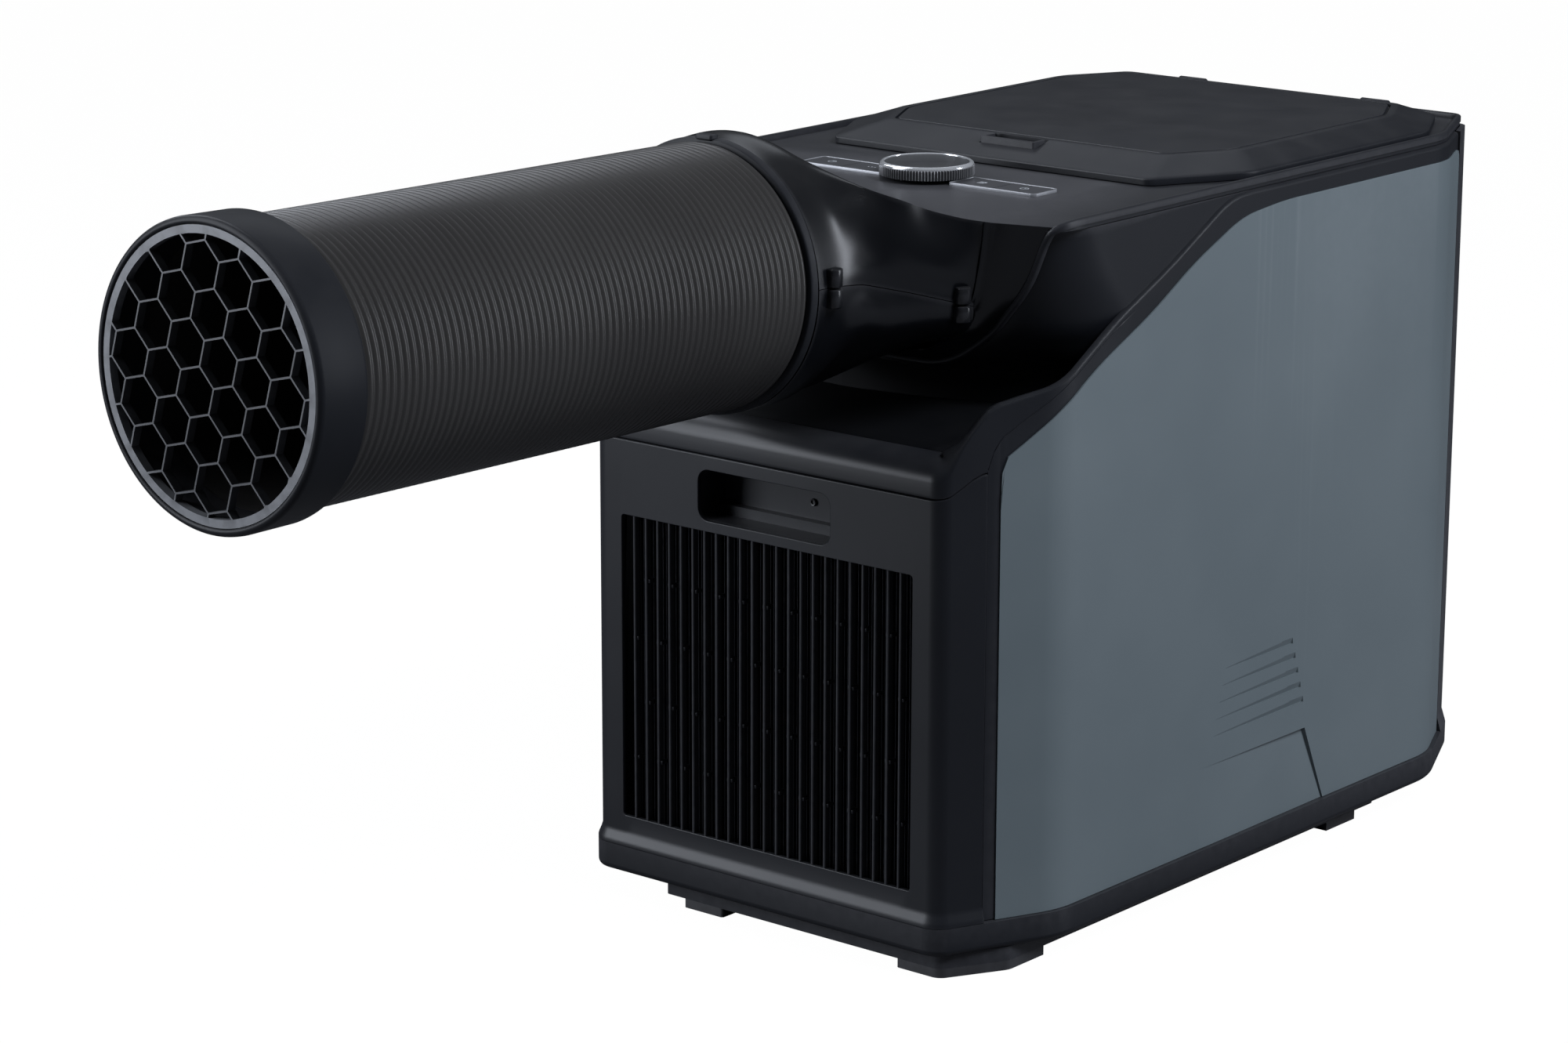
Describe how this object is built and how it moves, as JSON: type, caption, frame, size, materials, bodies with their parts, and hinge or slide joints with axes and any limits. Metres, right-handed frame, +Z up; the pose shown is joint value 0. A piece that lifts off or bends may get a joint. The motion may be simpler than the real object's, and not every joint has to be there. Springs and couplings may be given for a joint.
{
  "type": "portable air conditioner",
  "caption": "Compact portable air conditioner: grilled cabinet on feet with a ribbed cold-air duct on a swept neck, a rotary control with keys, and a hinged top lid.",
  "frame": {"origin": "bottom centre of the whole footprint, duct included, on the floor plane", "axes": "+Z up, the duct and the grilled front face -Y, +X to the right when seen from the front"},
  "size_m": [0.3244, 0.9737, 0.4824],
  "materials": {
    "black_shell": "fine satin texture",
    "black_gloss": "semi-gloss",
    "grey_panel": "satin metallic grey, soft sheen",
    "graphite_hose": "ribbed satin polymer film",
    "rubber": "matte",
    "bright_ring": "polished",
    "brushed_cap": "dark, brushed in circles",
    "silver_line": "satin edge",
    "key_black": "smooth",
    "fins": "mill finish fins",
    "copper": "drawn copper tube",
    "black_steel": "semi-gloss enamel",
    "white_plastic": "smooth",
    "steel": "bright",
    "board": "solder mask",
    "filter_mesh": "woven mesh"
  },
  "bodies": {
    "cabinet": {"accumulator": "black_steel", "air_filter": "filter_mesh", "base_tray": "black_shell", "blower_motor": "black_steel", "blower_scroll": "white_plastic", "compressor": "black_steel", "compressor_grommets": "rubber", "condenser_coil": "fins", "control_board": "board", "discharge_line": "copper", "drain_plug": "rubber", "encoder": "black_shell", "evaporator_coil": "fins", "fan_motor": "black_steel", "fan_shroud": "black_shell", "feet": "rubber", "front_grille": "black_shell", "front_handle_cup": "black_shell", "front_panel": "black_shell", "keybar_frame_left": "silver_line", "keybar_frame_right": "silver_line", "lid_hinge_pins": "steel", "neck_clips": "black_shell", "neck_lower": "black_shell", "partition": "white_plastic", "power_inlet": "black_shell", "rear_grille": "black_shell", "rear_handle_cup": "black_shell", "rear_panel": "black_shell", "refrigerant_lines": "copper", "return_grille": "black_shell", "side_panel_left": "grey_panel", "side_panel_right": "grey_panel", "side_trim_left": "black_shell", "side_trim_right": "black_shell", "skid_plate": "black_shell", "storage_bin": "black_shell", "top_deck": "black_shell", "tray_screws": "steel", "upper_housing": "black_shell"},
    "duct": {"duct_collar": "black_shell", "duct_hose": "graphite_hose", "outlet_ring": "black_shell", "outlet_honeycomb": "black_shell"},
    "knob": {"knob_skirt": "black_gloss", "knob_ring": "bright_ring", "knob_cap": "brushed_cap", "knob_shaft": "steel"},
    "timer_key": {"key_timer": "key_black"},
    "mode_key": {"key_mode": "key_black"},
    "fan_key": {"key_fan": "key_black"},
    "power_key": {"key_power": "key_black"},
    "lid": {"lid": "black_shell", "lid_inset": "black_shell"},
    "latch": {"lid_latch": "black_shell"},
    "fan": {"condenser_fan": "black_shell", "fan_axle": "steel"},
    "blower": {"blower_wheel": "white_plastic", "blower_axle": "steel"}
  },
  "joints": [
    {"name": "duct_twist", "type": "hinge", "parent": "cabinet", "child": "duct", "pos_m": [0, -0.10581, 0.3965], "axis": [0, -0.9999, 0.0157], "range_deg": [0, 20]},
    {"name": "knob_turn", "type": "hinge", "parent": "cabinet", "child": "knob", "pos_m": [0, 0.08619, 0.4253], "axis": [0, 0, 1], "continuous": true},
    {"name": "timer_key_press", "type": "slide", "parent": "cabinet", "child": "timer_key", "axis": [0, 0, -1], "range_m": [0, 0.0012], "stiffness_N_per_m": 400, "springref_m": -0.0005},
    {"name": "mode_key_press", "type": "slide", "parent": "cabinet", "child": "mode_key", "axis": [0, 0, -1], "range_m": [0, 0.0012], "stiffness_N_per_m": 400, "springref_m": -0.0005},
    {"name": "fan_key_press", "type": "slide", "parent": "cabinet", "child": "fan_key", "axis": [0, 0, -1], "range_m": [0, 0.0012], "stiffness_N_per_m": 400, "springref_m": -0.0005},
    {"name": "power_key_press", "type": "slide", "parent": "cabinet", "child": "power_key", "axis": [0, 0, -1], "range_m": [0, 0.0012], "stiffness_N_per_m": 400, "springref_m": -0.0005},
    {"name": "lid_hinge", "type": "hinge", "parent": "cabinet", "child": "lid", "pos_m": [0, 0.45819, 0.4303], "axis": [-1, 0, 0], "range_deg": [0, 100]},
    {"name": "latch_slide", "type": "slide", "parent": "lid", "child": "latch", "axis": [0, 1, 0], "range_m": [0, 0.003], "stiffness_N_per_m": 300, "springref_m": -0.002},
    {"name": "condenser_fan_spin", "type": "hinge", "parent": "cabinet", "child": "fan", "pos_m": [0, -0.00181, 0.142], "axis": [0, 1, 0], "continuous": true},
    {"name": "blower_spin", "type": "hinge", "parent": "cabinet", "child": "blower", "pos_m": [0, 0.12819, 0.318], "axis": [1, 0, 0], "continuous": true}
  ]
}
